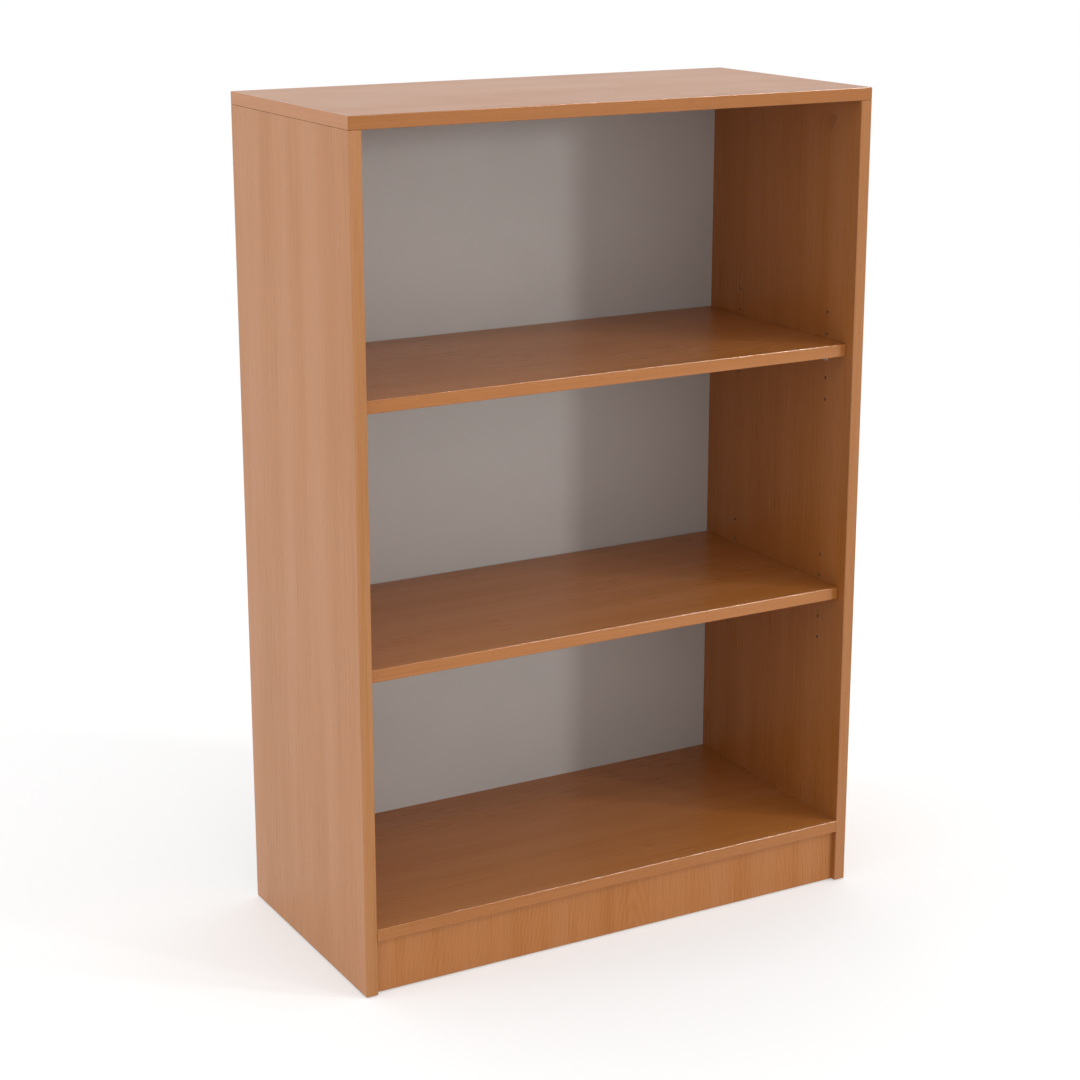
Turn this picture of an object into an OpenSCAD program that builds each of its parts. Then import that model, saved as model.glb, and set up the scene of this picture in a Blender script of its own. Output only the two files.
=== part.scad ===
// Open office bookcase of coated board, with three compartments for upright files.
// The top lies on the sides, the bottom shelf and the plinth stand between them,
// and two loose shelves lie on plug-in supports.
// Origin: centre of the footprint, on the floor. The front faces -Y, and +Z is up.

/* [Carcass] */
// Overall width over the side panels
body_w = 800; // [600:10:1000]
// Overall depth from the front edges to the rear edges
body_d = 380; // [330:5:450]
// Overall height from the floor to the top face
body_h = 1190; // [1100:5:1300]
// Thickness of the coated boards
board_t = 18; // [16:1:22]
// Height of the underside of the bottom shelf above the floor
plinth_h = 80; // [65:5:120]
// Distance of the plinth's face behind the front edges
plinth_recess = 8; // [4:1:30]

/* [Adjustable shelves] */
// Clear height of the lowest compartment
low_bay_h = 346; // [300:2:380]
// Clear height of the middle compartment
mid_bay_h = 346; // [300:2:380]
// Distance of the shelves' front edges behind the front
shelf_setback = 16; // [8:1:30]
// Gap between a shelf's end and the side panel
shelf_end_gap = 1; // [0.5:0.5:2]
// Gap between a shelf's rear edge and the back panel
shelf_rear_gap = 3; // [1:0.5:8]

/* [Edge bands] */
// Thickness of the edge bands
band_t = 2; // [1:0.5:3]
// Rounding along the bands' outer corners, where the bands are thick enough
band_r = 1.5; // [0.5:0.25:2.5]
// Least flat that the rounding leaves beside the board
band_flat = 0.25; // [0.1:0.05:0.4]

/* [Back panel] */
// Thickness of the back panel
back_t = 3; // [2.5:0.5:5]
// Distance from the rear edges to the grooves
back_inset = 10; // [8:1:16]
// Depth of the grooves
groove_depth = 8; // [5:0.5:10]
// Play of the back panel on each face in its grooves
groove_play = 0.1; // [0.05:0.05:0.3]
// Room left beyond the back panel's edges in the grooves
groove_end_gap = 1; // [0.5:0.5:2]

/* [Hole rows] */
// Distance from the front edges to the front row of fittings
row_front = 64; // [50:1:80]
// Distance from the rear edges to the rear row of fittings
row_rear = 60; // [50:1:80]
// Spacing of neighbouring holes in a row
row_pitch = 32; // [25:1:40]
// Holes in each short row that a shelf support can be plugged into
pin_hole_count = 5; // [3:2:7]
// Depth of the shelf-support holes
pin_hole_depth = 10; // [9:0.5:12]

/* [Cam fittings] */
// Diameter of the cams
cam_d = 15; // [14:0.5:18]
// Distance from a board's end to the cam's axis
cam_reach = 34; // [28:1:40]
// Depth of the cam's bore past the middle of the board
cam_bore_past = 4.5; // [4:0.25:5]
// Distance of the cam's face below the board's face
cam_sink = 0.3; // [0.2:0.1:0.8]
// Radius of the hollow inside the cam
cam_hollow_r = 5.2; // [4.8:0.1:5.6]
// Diameter of the bolt's shank
bolt_shank_d = 6.5; // [6:0.25:7.5]
// Diameter of the bore that the shank passes through
bolt_bore_d = 8; // [7.75:0.25:9]
// Diameter of the bolt's neck, where the cam grips it
bolt_neck_d = 4; // [3.5:0.25:4.5]
// Diameter of the bolt's round head
bolt_head_d = 6.4; // [6.2:0.1:6.8]
// Diameter of the screwed end of the bolt
bolt_root_d = 5; // [4.5:0.25:6]
// Length of the screwed end of the bolt
bolt_root_len = 11; // [8:0.5:13]
// Width of each arm of the cam's cross recess
recess_w = 1.6; // [1.2:0.1:2]
// Length of the cross recess from arm to arm
recess_len = 8; // [6:0.5:10]
// Depth of the cross recess
recess_depth = 3; // [2.5:0.25:3.5]
// Diameter of the round socket in the middle of the recess
recess_hub_d = 4.8; // [4:0.2:5.4]
// Diameter of the cover caps
cap_d = 18; // [17:0.5:22]
// Thickness of the cover caps
cap_t = 1.4; // [1:0.1:2]
// Length of the cap's stem below the cam's face
cap_stem_len = 2; // [1:0.25:2.25]

/* [Dowels] */
// Diameter of the dowels
dowel_d = 8; // [6:0.5:9]
// Length of a dowel inside the face of a board
dowel_face_len = 12; // [8:0.5:13]
// Length of a dowel inside the end of a board
dowel_end_len = 23; // [18:1:28]
// Flutes round each dowel
dowel_flutes = 10; // [6:1:14]
// Radius of the flutes
flute_r = 0.5; // [0.3:0.1:0.8]
// Distance from the plinth's long edges to its bolts and dowels
plinth_row = 23; // [20:1:26]
// Distance from the middle to each upright dowel in the plinth
plinth_dowel_x = 200; // [100:10:220]

/* [Shelf supports] */
// Diameter of the supports' pins
pin_d = 5; // [4:0.5:6]
// Length of the pins inside the side panels
pin_len = 8; // [6:0.5:8.5]
// Distance from a shelf's underside to the pins' axis
pin_drop = 8; // [7:0.5:9]
// Width of a support along the side panel
support_w = 12; // [10:1:16]
// Distance that the tongue reaches under the shelf
tongue_len = 16; // [12:1:22]
// Thickness of the tongue
tongue_t = 2.5; // [2:0.25:3.5]
// Corner radius of the tongue
tongue_r = 3; // [1:0.5:4.5]
// Thickness of the flange against the side panel
flange_t = 2; // [1.5:0.25:3]
// Height of the flange
flange_h = 14; // [13:0.5:18]
// Thickness of the web under the tongue
web_t = 2; // [1.5:0.25:4]
// Distance that the web reaches along the tongue
web_len = 11; // [8:0.5:11]

/* [Floor glides] */
// Diameter of the glides
glide_d = 15; // [12:1:16]
// Height of the glides below the side panels
glide_h = 2; // [1.5:0.5:5]
// Bevel round the foot of a glide
glide_bevel = 0.6; // [0.3:0.1:1]
// Diameter of a glide's nail
nail_d = 2; // [1.5:0.25:3]
// Length of a glide's nail
nail_len = 15; // [10:1:18]
// Distance from the front and rear edges to the glides
glide_inset = 36; // [28:1:60]

/* [Back screws] */
// Number of screws along the bottom of the back panel
screw_count = 4; // [2:1:6]
// Distance from the side panels to the outer screws
screw_end_gap = 52; // [50:1:80]
// Diameter of the screws
screw_d = 3.5; // [3:0.25:4.5]
// Length of the screws under the head
screw_len = 20; // [14:1:30]
// Diameter of the screw heads
screw_head_d = 7; // [6:0.25:8]
// Height of the screw heads
screw_head_h = 2; // [1.6:0.1:2.6]

/* [Fits] */
// Radial play of pins, bolts, cams and dowels in their bores
fit_play = 0.05; // [0.02:0.01:0.1]
// Room left beyond the end of a pin, bolt or dowel in its bore
bore_end_gap = 0.5; // [0.3:0.1:1]

/* [Hidden] */
$fn = 48;
// Overshoot of every cut past the face that it opens
cut = 1;

// Colours of the board faces, bands and fittings
BOARD = [0.70, 0.50, 0.35];
BAND = [0.68, 0.47, 0.32];
BACK = [0.62, 0.60, 0.57];
ZINC = [0.72, 0.72, 0.73];
DOWEL = [0.80, 0.67, 0.48];
CAP = [0.60, 0.42, 0.28];
GLIDE = [0.22, 0.19, 0.17];

// Places across the width
side_x = body_w / 2;
inner_x = side_x - board_t;
shelf_x = inner_x - shelf_end_gap;

// Places along the depth, from the front at -Y to the rear at +Y
front_y = -body_d / 2;
rear_y = body_d / 2;
board_front_y = front_y + band_t;
shelf_front_y = front_y + shelf_setback;
groove_w = back_t + 2 * groove_play;
groove_y = rear_y - back_inset - groove_w;
back_y = groove_y + groove_play;
shelf_rear_y = back_y - shelf_rear_gap;
plinth_y = front_y + plinth_recess;
plinth_mid_y = plinth_y + board_t / 2;
cam_rows = [front_y + row_front, rear_y - row_rear];
dowel_rows = [cam_rows[0] + row_pitch, cam_rows[1] - row_pitch];
pin_rows = [cam_rows[0], cam_rows[1] - row_pitch];
glide_rows = [front_y + glide_inset, rear_y - glide_inset];

// Heights above the floor
foot_z = glide_h;
under_top_z = body_h - board_t;
floor_z = plinth_h + board_t;
lower_shelf_z = floor_z + low_bay_h;
upper_shelf_z = lower_shelf_z + board_t + mid_bay_h;
shelf_mid_z = plinth_h + board_t / 2;
plinth_bolt_z = foot_z + plinth_row;
plinth_dowel_z = plinth_h - plinth_row;

// Sizes of the fittings that follow from the boards
cam_bore_h = board_t / 2 + cam_bore_past;
neck_slot_h = bolt_neck_d + 0.6;
// The head lies against the inner edges of the cam's slot
head_bite = cam_hollow_r - sqrt(pow(bolt_head_d / 2, 2) - pow(neck_slot_h / 2, 2)) - fit_play;
shank_end_gap = 0.6;
hollow_top = bolt_head_d / 2 + 0.4;
// The rounding leaves a narrow flat on each side of a band
corner_r = min(band_r, band_t - band_flat);

// One copy on the left and its mirror image on the right
module both_sides() {
    children();
    mirror([1, 0, 0]) children();
}

// Rectangular board between two opposite corners
module board(low, high) {
    translate(low) cube(high - low);
}

// Round bar along +X from x0 to x1
module bar_x(d, x0, x1) {
    translate([x0, 0, 0]) rotate([0, 90, 0]) cylinder(d = d, h = x1 - x0);
}

// Section of an edge band: flat behind, with its two outer corners rounded.
// The board's edge is at y = 0 and the band's outer face at y = -band_t.
module band_section(width) {
    translate([0, -band_t + corner_r]) square([width, band_t - corner_r]);
    translate([corner_r, -band_t]) square([width - 2 * corner_r, band_t]);
    for (x = [corner_r, width - corner_r])
        intersection() {
            translate([x, -band_t + corner_r]) circle(r = corner_r);
            translate([0, -band_t]) square([width, band_t]);
        }
}

// Band along X on the front edge of a board that lies flat
module front_band(half_w, y, z) {
    translate([-half_w, y, z + board_t])
        rotate([0, 90, 0])
            linear_extrude(2 * half_w) band_section(board_t);
}

// Frame of a joint where one board's end meets another board's face.
// Local x runs into the board that ends there, z points to the face with the cams,
// and y runs along the joint.
module top_joint() {
    translate([-side_x + board_t / 2, 0, under_top_z]) rotate([0, 90, 0]) children();
}

module bottom_joint() {
    translate([-inner_x, 0, shelf_mid_z]) mirror([0, 0, 1]) children();
}

module plinth_joint() {
    translate([-inner_x, plinth_mid_y, 0]) mirror([0, 1, 0]) rotate([90, 0, 0]) children();
}

// Upright dowels between the plinth and the bottom shelf
module plinth_top_joint() {
    for (x = [-plinth_dowel_x, plinth_dowel_x])
        translate([x, plinth_mid_y, plinth_h]) rotate([0, 90, 0]) children();
}

// Bores in the board whose end meets the joint
module end_bores(cams, dowels) {
    for (y = cams) translate([0, y, 0]) {
        bar_x(bolt_bore_d, -cut, cam_reach);
        translate([cam_reach, 0, board_t / 2 - cam_bore_h])
            cylinder(d = cam_d + 2 * fit_play, h = cam_bore_h + cut);
    }
    for (y = dowels) translate([0, y, 0])
        bar_x(dowel_d + 2 * fit_play, -cut, dowel_end_len + bore_end_gap);
}

// Bores in the board whose face meets the joint
module face_bores(cams, dowels) {
    for (y = cams) translate([0, y, 0])
        bar_x(bolt_root_d + 2 * fit_play, -bolt_root_len - bore_end_gap, cut);
    for (y = dowels) translate([0, y, 0])
        bar_x(dowel_d + 2 * fit_play, -dowel_face_len - bore_end_gap, cut);
}

// Cross recess in a face at z = 0, cut downwards
module cross_recess(len, w, depth) {
    for (a = [0, 90]) rotate(a)
        translate([-len / 2, -w / 2, -depth]) cube([len, w, depth + cut]);
}

// Cam housing with its hollow, the slot that grips the bolt's neck, the mouth that the
// head enters by, and the cross recess for the screwdriver
module cam() {
    face_z = board_t / 2 - cam_sink;
    foot = board_t / 2 - cam_bore_h;
    slot_start = 120;
    slot_turn = 170;
    translate([cam_reach, 0, 0]) difference() {
        translate([0, 0, foot]) cylinder(d = cam_d, h = face_z - foot);
        translate([0, 0, foot - cut]) cylinder(r = cam_hollow_r, h = hollow_top - foot + cut);
        rotate([0, 0, slot_start]) rotate_extrude(angle = slot_turn)
            translate([cam_hollow_r - cut, -neck_slot_h / 2])
                square([cam_d / 2 - cam_hollow_r + 2 * cut, neck_slot_h]);
        rotate([0, 0, slot_start + slot_turn - 15])
            bar_x(bolt_head_d + 0.6, cam_hollow_r - cut, cam_d / 2 + cut);
        translate([0, 0, face_z]) {
            cross_recess(recess_len, recess_w, recess_depth);
            translate([0, 0, -recess_depth]) cylinder(d = recess_hub_d, h = recess_depth + cut);
        }
    }
}

// Bolt with a screwed end in one board and a round head inside the cam of the other
module cam_bolt() {
    shank_end = cam_reach - cam_d / 2 - shank_end_gap;
    head_x = cam_reach - head_bite;
    bar_x(bolt_root_d, -bolt_root_len, cut);
    bar_x(bolt_shank_d, 0, shank_end);
    bar_x(bolt_neck_d, shank_end - cut, head_x);
    translate([head_x, 0, 0]) sphere(d = bolt_head_d);
}

// Flat round cap on the board's face, with a stem in the cam's recess
module cam_cap() {
    rim = cap_t * 0.6;
    translate([cam_reach, 0, board_t / 2]) {
        rotate_extrude() {
            square([cap_d / 2 - rim, cap_t]);
            square([cap_d / 2, cap_t - rim]);
            translate([cap_d / 2 - rim, cap_t - rim])
                intersection() {
                    circle(r = rim);
                    square(rim);
                }
        }
        translate([0, 0, -cam_sink - cap_stem_len])
            cylinder(d = recess_hub_d - 2 * fit_play, h = cap_stem_len + cam_sink + cap_t / 2);
    }
}

// Fluted wooden dowel with bevelled ends, along X through the joint
module dowel() {
    bevel = dowel_d * 0.12;
    len = dowel_face_len + dowel_end_len;
    translate([-dowel_face_len, 0, 0]) rotate([0, 90, 0]) difference() {
        rotate_extrude() polygon([
            [0, 0], [dowel_d / 2 - bevel, 0], [dowel_d / 2, bevel],
            [dowel_d / 2, len - bevel], [dowel_d / 2 - bevel, len], [0, len]
        ]);
        for (i = [0:dowel_flutes - 1]) rotate(360 * i / dowel_flutes)
            translate([dowel_d / 2 + flute_r / 4, 0, -cut])
                cylinder(r = flute_r, h = len + 2 * cut, $fn = 16);
    }
}

module cams_at(rows) {
    for (y = rows) translate([0, y, 0]) cam();
}

module bolts_at(rows) {
    for (y = rows) translate([0, y, 0]) cam_bolt();
}

module dowels_at(rows) {
    for (y = rows) translate([0, y, 0]) dowel();
}

// Short rows of holes round each shelf's level, in the left side panel
module pin_holes() {
    first = -(pin_hole_count - 1) / 2;
    for (z = [lower_shelf_z, upper_shelf_z], y = pin_rows, i = [0:pin_hole_count - 1])
        translate([-inner_x, y, z - pin_drop + (first + i) * row_pitch])
            bar_x(pin_d + 2 * fit_play, -pin_hole_depth, cut);
}

module groove(low, high) {
    board(low, high);
}

// Side panel on the left, with every bore that it needs
module side_shape() {
    difference() {
        board([-side_x, board_front_y, foot_z], [-inner_x, rear_y, under_top_z]);
        groove([-inner_x - groove_depth, groove_y, foot_z - cut],
               [-inner_x + cut, groove_y + groove_w, under_top_z + cut]);
        top_joint() end_bores(cam_rows, dowel_rows);
        bottom_joint() face_bores(cam_rows, dowel_rows);
        plinth_joint() face_bores([plinth_bolt_z], [plinth_dowel_z]);
        pin_holes();
        for (y = glide_rows) translate([-side_x + board_t / 2, y, foot_z - cut])
            cylinder(d = nail_d + 2 * fit_play, h = nail_len + bore_end_gap + cut);
    }
}

module left_side() {
    color(BOARD) side_shape();
}

module right_side() {
    color(BOARD) mirror([1, 0, 0]) side_shape();
}

module top_panel() {
    end_x = side_x - band_t;
    color(BOARD) difference() {
        board([-end_x, board_front_y, under_top_z], [end_x, rear_y, body_h]);
        groove([-end_x - cut, groove_y, under_top_z - cut],
               [end_x + cut, groove_y + groove_w, under_top_z + groove_depth]);
        both_sides() top_joint() face_bores(cam_rows, dowel_rows);
    }
}

// Pilot holes of the back panel's screws
module screw_places() {
    first_x = -inner_x + screw_end_gap;
    step = -2 * first_x / (screw_count - 1);
    for (i = [0:screw_count - 1])
        translate([first_x + i * step, back_y + back_t, shelf_mid_z]) rotate([90, 0, 0]) children();
}

module screw_bores() {
    screw_places() translate([0, 0, -cut])
        cylinder(d = screw_d + 2 * fit_play, h = screw_len + bore_end_gap + cut);
}

module bottom_shelf() {
    color(BOARD) difference() {
        board([-inner_x, board_front_y, plinth_h], [inner_x, back_y, floor_z]);
        both_sides() bottom_joint() end_bores(cam_rows, dowel_rows);
        plinth_top_joint() face_bores([], [0]);
        screw_bores();
    }
}

module plinth() {
    color(BOARD) difference() {
        board([-inner_x, plinth_y, foot_z], [inner_x, plinth_y + board_t, plinth_h]);
        both_sides() plinth_joint() end_bores([plinth_bolt_z], [plinth_dowel_z]);
        plinth_top_joint() end_bores([], [0]);
    }
}

module back_panel() {
    in_groove = groove_depth - groove_end_gap;
    color(BACK) difference() {
        board([-inner_x - in_groove, back_y, plinth_h],
              [inner_x + in_groove, back_y + back_t, under_top_z + in_groove]);
        screw_bores();
    }
}

module loose_shelf(z) {
    color(BOARD)
        board([-shelf_x, shelf_front_y + band_t, z], [shelf_x, shelf_rear_y, z + board_t]);
}

module upper_shelf() {
    loose_shelf(upper_shelf_z);
}

module lower_shelf() {
    loose_shelf(lower_shelf_z);
}

module side_band() {
    color(BAND) translate([-side_x, board_front_y, foot_z])
        linear_extrude(under_top_z - foot_z) band_section(board_t);
}

module left_side_edging() {
    side_band();
}

module right_side_edging() {
    mirror([1, 0, 0]) side_band();
}

// The top's front band has its two upright ends rounded as well
module top_front_edging() {
    color(BAND) intersection() {
        front_band(side_x, board_front_y, under_top_z);
        translate([-side_x, board_front_y, under_top_z - cut])
            linear_extrude(board_t + 2 * cut) band_section(body_w);
    }
}

module top_end_band() {
    color(BAND) translate([-side_x + band_t, rear_y, under_top_z])
        rotate([90, 0, 0]) linear_extrude(rear_y - board_front_y)
            mirror([1, 0]) rotate(90) band_section(board_t);
}

module top_left_edging() {
    top_end_band();
}

module top_right_edging() {
    mirror([1, 0, 0]) top_end_band();
}

module bottom_shelf_edging() {
    color(BAND) front_band(inner_x, board_front_y, plinth_h);
}

module upper_shelf_edging() {
    color(BAND) front_band(shelf_x, shelf_front_y + band_t, upper_shelf_z);
}

module lower_shelf_edging() {
    color(BAND) front_band(shelf_x, shelf_front_y + band_t, lower_shelf_z);
}

module top_cams() {
    color(ZINC) both_sides() top_joint() cams_at(cam_rows);
}

module top_cam_caps() {
    color(CAP) both_sides() top_joint() for (y = cam_rows) translate([0, y, 0]) cam_cap();
}

module top_cam_bolts() {
    color(ZINC) both_sides() top_joint() bolts_at(cam_rows);
}

module top_dowels() {
    color(DOWEL) both_sides() top_joint() dowels_at(dowel_rows);
}

module bottom_cams() {
    color(ZINC) both_sides() bottom_joint() cams_at(cam_rows);
}

module bottom_cam_bolts() {
    color(ZINC) both_sides() bottom_joint() bolts_at(cam_rows);
}

module bottom_dowels() {
    color(DOWEL) both_sides() bottom_joint() dowels_at(dowel_rows);
}

module plinth_cams() {
    color(ZINC) both_sides() plinth_joint() cams_at([plinth_bolt_z]);
}

module plinth_cam_bolts() {
    color(ZINC) both_sides() plinth_joint() bolts_at([plinth_bolt_z]);
}

module plinth_dowels() {
    color(DOWEL) {
        both_sides() plinth_joint() dowels_at([plinth_dowel_z]);
        plinth_top_joint() dowel();
    }
}

// Shelf support: a pin in the side panel, a flange on its face, and a tongue with a web
// below it. The tongue's top is at z = 0 and the side panel's face at x = 0.
module shelf_support() {
    tip = pin_d * 0.1;
    translate([0, 0, -pin_drop]) {
        bar_x(pin_d, -pin_len + tip, flange_t);
        translate([-pin_len, 0, 0]) rotate([0, 90, 0])
            cylinder(d1 = pin_d - 2 * tip, d2 = pin_d, h = tip);
    }
    translate([0, -support_w / 2, -flange_h]) cube([flange_t, support_w, flange_h]);
    translate([0, 0, -tongue_t]) linear_extrude(tongue_t) {
        translate([0, -support_w / 2]) square([tongue_len - tongue_r, support_w]);
        translate([0, -support_w / 2 + tongue_r]) square([tongue_len, support_w - 2 * tongue_r]);
        for (y = [-1, 1])
            translate([tongue_len - tongue_r, y * (support_w / 2 - tongue_r)]) circle(r = tongue_r);
    }
    translate([0, web_t / 2, 0]) rotate([90, 0, 0]) linear_extrude(web_t)
        polygon([[flange_t / 2, -tongue_t / 2], [web_len, -tongue_t / 2], [web_len, -tongue_t],
                 [flange_t, -flange_h + 1], [flange_t / 2, -flange_h + 1]]);
}

module supports_at(z) {
    color(ZINC) both_sides() for (y = pin_rows) translate([-inner_x, y, z]) shelf_support();
}

module upper_shelf_supports() {
    supports_at(upper_shelf_z);
}

module lower_shelf_supports() {
    supports_at(lower_shelf_z);
}

// Nail-in glides: the feet that the bookcase stands on
module floor_glides() {
    color(GLIDE) both_sides() for (y = glide_rows)
        translate([-side_x + board_t / 2, y, 0]) {
            cylinder(d1 = glide_d - 2 * glide_bevel, d2 = glide_d, h = glide_bevel);
            translate([0, 0, glide_bevel]) cylinder(d = glide_d, h = glide_h - glide_bevel);
            translate([0, 0, glide_h / 2]) cylinder(d = nail_d, h = glide_h / 2 + nail_len);
        }
}

module back_screws() {
    color(ZINC) screw_places() difference() {
        union() {
            translate([0, 0, -screw_head_h])
                cylinder(d1 = screw_head_d * 0.7, d2 = screw_head_d, h = screw_head_h * 0.5);
            translate([0, 0, -screw_head_h / 2]) cylinder(d = screw_head_d, h = screw_head_h / 2);
            cylinder(d = screw_d, h = screw_len - screw_d);
            translate([0, 0, screw_len - screw_d]) cylinder(d1 = screw_d, d2 = 0.4, h = screw_d);
        }
        translate([0, 0, -screw_head_h]) mirror([0, 0, 1])
            cross_recess(screw_head_d * 0.5, screw_head_d * 0.12, screw_head_h * 0.6);
    }
}

left_side();
right_side();
top_panel();
bottom_shelf();
plinth();
back_panel();
upper_shelf();
lower_shelf();
left_side_edging();
right_side_edging();
top_front_edging();
top_left_edging();
top_right_edging();
bottom_shelf_edging();
upper_shelf_edging();
lower_shelf_edging();
top_cams();
top_cam_caps();
top_cam_bolts();
top_dowels();
bottom_cams();
bottom_cam_bolts();
bottom_dowels();
plinth_cams();
plinth_cam_bolts();
plinth_dowels();
upper_shelf_supports();
lower_shelf_supports();
floor_glides();
back_screws();
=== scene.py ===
"""Looks of the open bookcase: board, band and fitting finishes, rounded pieces, studio, camera.

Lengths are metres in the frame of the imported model: +Z up, the open front faces -Y, and the
origin is the middle of the footprint on the floor.
"""
import logging
import math
from dataclasses import dataclass, replace
from enum import Enum
from functools import cached_property

import bpy
import numpy as np
from mathutils import Euler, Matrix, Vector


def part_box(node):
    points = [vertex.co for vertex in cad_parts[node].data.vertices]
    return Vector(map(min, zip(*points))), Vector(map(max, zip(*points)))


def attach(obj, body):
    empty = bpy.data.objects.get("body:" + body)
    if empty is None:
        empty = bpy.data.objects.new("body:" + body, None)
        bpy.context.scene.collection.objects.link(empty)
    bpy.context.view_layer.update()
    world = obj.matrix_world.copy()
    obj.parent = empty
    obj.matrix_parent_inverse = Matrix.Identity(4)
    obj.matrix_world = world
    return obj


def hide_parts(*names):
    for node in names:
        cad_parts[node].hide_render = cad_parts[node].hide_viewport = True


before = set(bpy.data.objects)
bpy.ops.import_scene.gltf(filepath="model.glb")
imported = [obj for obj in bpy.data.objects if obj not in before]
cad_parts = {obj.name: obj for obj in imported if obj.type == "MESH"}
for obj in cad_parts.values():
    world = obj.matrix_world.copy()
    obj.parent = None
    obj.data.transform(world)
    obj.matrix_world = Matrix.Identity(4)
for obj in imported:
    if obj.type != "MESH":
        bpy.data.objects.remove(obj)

Socket = bpy.types.NodeSocket
Colour = tuple[float, float, float]
Point = tuple[float, float, float]
Value = float | int | Colour | tuple[float, float, float, float] | Socket

LOG = logging.getLogger("bookcase")
MM = 0.001
WHITE = (1.0, 1.0, 1.0)
SHARP_FROM = math.radians(40)
FLAT_ROW = 0.05 * MM


class Axis(Enum):
    """A direction of the model's frame, by its place in a point."""

    X = 0
    Y = 1
    Z = 2

    def third(self, other: "Axis") -> "Axis":
        """Return the direction that is square to this one and the other."""
        return next(axis for axis in Axis if axis not in (self, other))


class Grain(Enum):
    """The direction in which a board's wood decor runs."""

    UPRIGHT = Axis.Z
    ACROSS = Axis.X
    DEEP = Axis.Y


@dataclass(frozen=True)
class Ramp:
    """A straight ramp: values from low to high become to_low to to_high, held at both ends."""

    low: float
    high: float
    to_low: float = 0.0
    to_high: float = 1.0


@dataclass(frozen=True)
class Relief:
    """How a height from 0 to 1 shows: its depth in metres, and how strongly it bends the light."""

    depth: float
    strength: float


@dataclass(frozen=True)
class Surface:
    """What a finish gives at each place: its colour, its height from 0 to 1 and its roughness."""

    colour: Socket
    height: Socket
    roughness: Socket


def rgba(value: Value) -> Value:
    """Return a plain colour with its fourth number, and anything else as it is."""
    return (*value, 1.0) if isinstance(value, tuple) and len(value) == 3 else value


class Graph:
    """The node tree of a material or world, with a short call for each kind of node in use."""

    def __init__(self, owner: bpy.types.Material | bpy.types.World) -> None:
        """Empty the owner's node tree.

        Args:
            owner: the material or world that the nodes are for.
        """
        owner.use_nodes = True
        self.owner = owner
        self.tree = owner.node_tree
        self.tree.nodes.clear()

    def node(self, kind: str, inputs: dict[int | str, Value], **settings: object) -> bpy.types.Node:
        """Add a node, set it and feed its inputs.

        Args:
            kind: Blender's name of the node type.
            inputs: value or socket for each input, by the input's name or number.
            settings: the node's own settings.

        Returns:
            The node.
        """
        node = self.tree.nodes.new(kind)
        for name, setting in settings.items():
            setattr(node, name, setting)
        for key, value in inputs.items():
            if isinstance(value, Socket):
                self.tree.links.new(value, node.inputs[key])
            else:
                node.inputs[key].default_value = value
        return node

    def add(self, kind: str, inputs: dict[int | str, Value], output: int | str = 0,
            **settings: object) -> Socket:
        """Add a node as node() does, and return the output of that name or number."""
        return self.node(kind, inputs, **settings).outputs[output]

    @cached_property
    def place(self) -> Socket:
        """Return the place on the piece, in metres of the model's frame."""
        return self.add("ShaderNodeTexCoord", {}, "Object")

    def math(self, operation: str, *values: Value, clamp: bool = False) -> Socket:
        """Return a sum, product or other operation on numbers."""
        return self.add("ShaderNodeMath", dict(enumerate(values)), operation=operation,
                        use_clamp=clamp)

    def seen(self) -> Socket:
        """Return 1 for camera, glossy and transmission rays, and 0 for the light in the shades."""
        camera, glossy, transmission = (self.add("ShaderNodeLightPath", {}, f"Is {kind} Ray")
                                        for kind in ("Camera", "Glossy", "Transmission"))
        return self.math("MAXIMUM", self.math("MAXIMUM", camera, glossy), transmission)

    def along(self, axis: Axis) -> Socket:
        """Return one coordinate of the place."""
        return self.add("ShaderNodeSeparateXYZ", {0: self.place}, axis.value)

    def scaled(self, scale: Point, shift: Point = (0.0, 0.0, 0.0)) -> Socket:
        """Return the place times a scale for each axis, plus a shift."""
        return self.add("ShaderNodeVectorMath", {0: self.place, 1: scale, 2: shift},
                        operation="MULTIPLY_ADD")

    def wave(self, value: Value, pitch: float = 1.0) -> Socket:
        """Return a sine wave, from -1 to 1, that comes round each time a value grows by a pitch."""
        return self.math("SINE", self.math("MULTIPLY", value, math.tau / pitch))

    def sway(self, base: Value, value: Socket, gain: float, clamp: bool = False) -> Socket:
        """Return a base plus gain times how far a value from 0 to 1 is above its middle."""
        return self.math("MULTIPLY_ADD", self.math("SUBTRACT", value, 0.5), gain, base, clamp=clamp)

    def remap(self, value: Value, ramp: Ramp) -> Socket:
        """Return the height of a ramp at a value."""
        return self.add("ShaderNodeMapRange",
                        {0: value, 1: ramp.low, 2: ramp.high, 3: ramp.to_low, 4: ramp.to_high})

    def mixed(self, share: Value, first: Value, second: Value, blend: str = "MIX") -> Socket:
        """Return the first colour with a share of the second one blended in."""
        return self.add("ShaderNodeMix", {0: share, 6: rgba(first), 7: rgba(second)}, 2,
                        data_type="RGBA", blend_type=blend)

    def blended(self, share: Value, first: Value, second: Value) -> Socket:
        """Return the first number with a share of the second one blended in."""
        return self.add("ShaderNodeMix", {0: share, 2: first, 3: second}, 0, data_type="FLOAT")

    def finish(self, surface: Surface, relief: Relief, ior: float = 1.5,
               metallic: float = 0.0) -> bpy.types.Material:
        """Close the material with one surface shader.

        Args:
            surface: the finish's colour, height and roughness.
            relief: how its height shows.
            ior: its index of refraction.
            metallic: 1 for a metal and 0 for anything else.

        Returns:
            The finished material.
        """
        normal = self.add("ShaderNodeBump", {
            "Height": surface.height, "Distance": relief.depth, "Strength": relief.strength})
        shader = self.add("ShaderNodeBsdfPrincipled", {
            "Base Color": surface.colour, "Roughness": surface.roughness, "Normal": normal,
            "IOR": ior, "Metallic": metallic})
        self.node("ShaderNodeOutputMaterial", {"Surface": shader})
        return self.owner


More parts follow.
